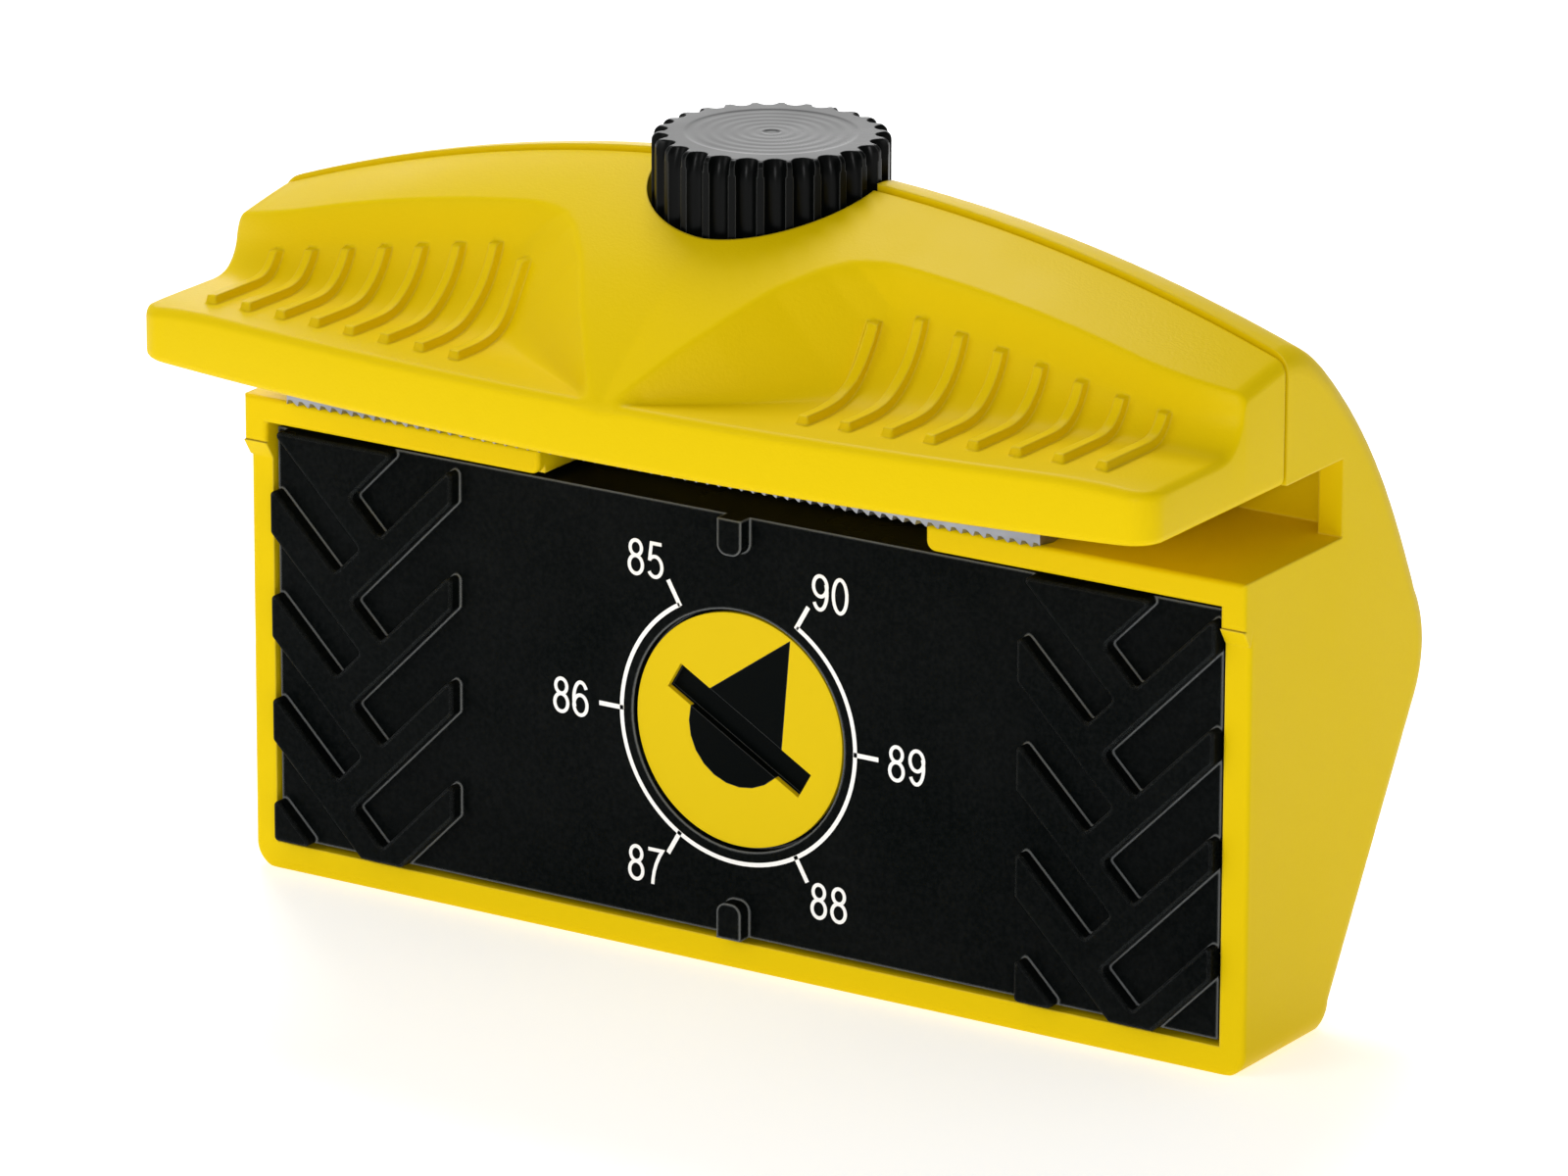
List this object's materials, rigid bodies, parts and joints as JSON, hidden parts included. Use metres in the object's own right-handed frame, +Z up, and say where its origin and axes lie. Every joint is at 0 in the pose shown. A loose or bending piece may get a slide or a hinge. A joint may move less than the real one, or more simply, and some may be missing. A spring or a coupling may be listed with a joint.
{
  "type": "edge tuning tool",
  "caption": "Hand-held file guide for ski and snowboard side edges, with a clamping knob, a tilting treaded guide plate and a dial that sets the edge angle.",
  "frame": {"origin": "bottom centre of the whole tool's box", "axes": "+X along the file, -Y the front that faces the ski's base, +Z up towards the knob"},
  "size_m": [0.132, 0.0674, 0.0954],
  "materials": {
    "yellow_shell": "satin moulded plastic with a fine grain",
    "black_plastic": "semi-matte moulded plastic with a fine grain",
    "dial_black": "semi-matte moulded plastic",
    "dial_yellow": "satin moulded plastic",
    "scale_white": "pad-printed ink",
    "file_steel": "hardened file steel with cut teeth",
    "steel_parts": "zinc-plated steel",
    "brass_insert": "turned brass",
    "rubber_pad": "matt rubber"
  },
  "bodies": {
    "shell": {"housing": "yellow_shell", "front_cover": "yellow_shell", "cover_screws": "steel_parts", "knob_washer": "steel_parts", "hinge_pins": "steel_parts", "hinge_springs": "steel_parts", "cam_follower": "steel_parts"},
    "knob": {"clamp_knob": "black_plastic", "knob_insert": "brass_insert"},
    "clamp": {"clamp_stem": "steel_parts", "pressure_plate": "steel_parts", "pressure_pad": "rubber_pad", "stem_clip": "steel_parts"},
    "file": {"edge_file": "file_steel"},
    "plate": {"guide_plate": "black_plastic", "detent_ball": "steel_parts", "detent_spring": "steel_parts"},
    "dial": {"angle_dial": "dial_black", "dial_face": "dial_yellow", "dial_cam": "dial_black", "dial_screw": "steel_parts", "dial_washer": "steel_parts", "dial_o_ring": "rubber_pad"}
  },
  "joints": [
    {"name": "knob_turn", "type": "hinge", "parent": "shell", "child": "knob", "pos_m": [0, 0.00082, 0.09], "axis": [0, 0, 1], "range_deg": [0, 720]},
    {"name": "clamp_lift", "type": "slide", "parent": "shell", "child": "clamp", "axis": [0, 0, 1], "range_m": [0, 0.002]},
    {"name": "file_slide", "type": "slide", "parent": "shell", "child": "file", "axis": [1, 0, 0], "range_m": [-0.0066, 0.085]},
    {"name": "plate_tilt", "type": "hinge", "parent": "shell", "child": "plate", "pos_m": [0, -0.00258, 0.0499], "axis": [-1, 0, 0], "range_deg": [0, 5]},
    {"name": "dial_turn", "type": "hinge", "parent": "plate", "child": "dial", "pos_m": [0, -0.00517, 0.02785], "axis": [0, 1, 0], "range_deg": [0, 300]}
  ],
  "couplings": [
    {"joint": "knob_turn", "follows": "clamp_lift", "rad_per_m": 6283.2},
    {"joint": "plate_tilt", "follows": "dial_turn", "ratio": 0.016667}
  ]
}
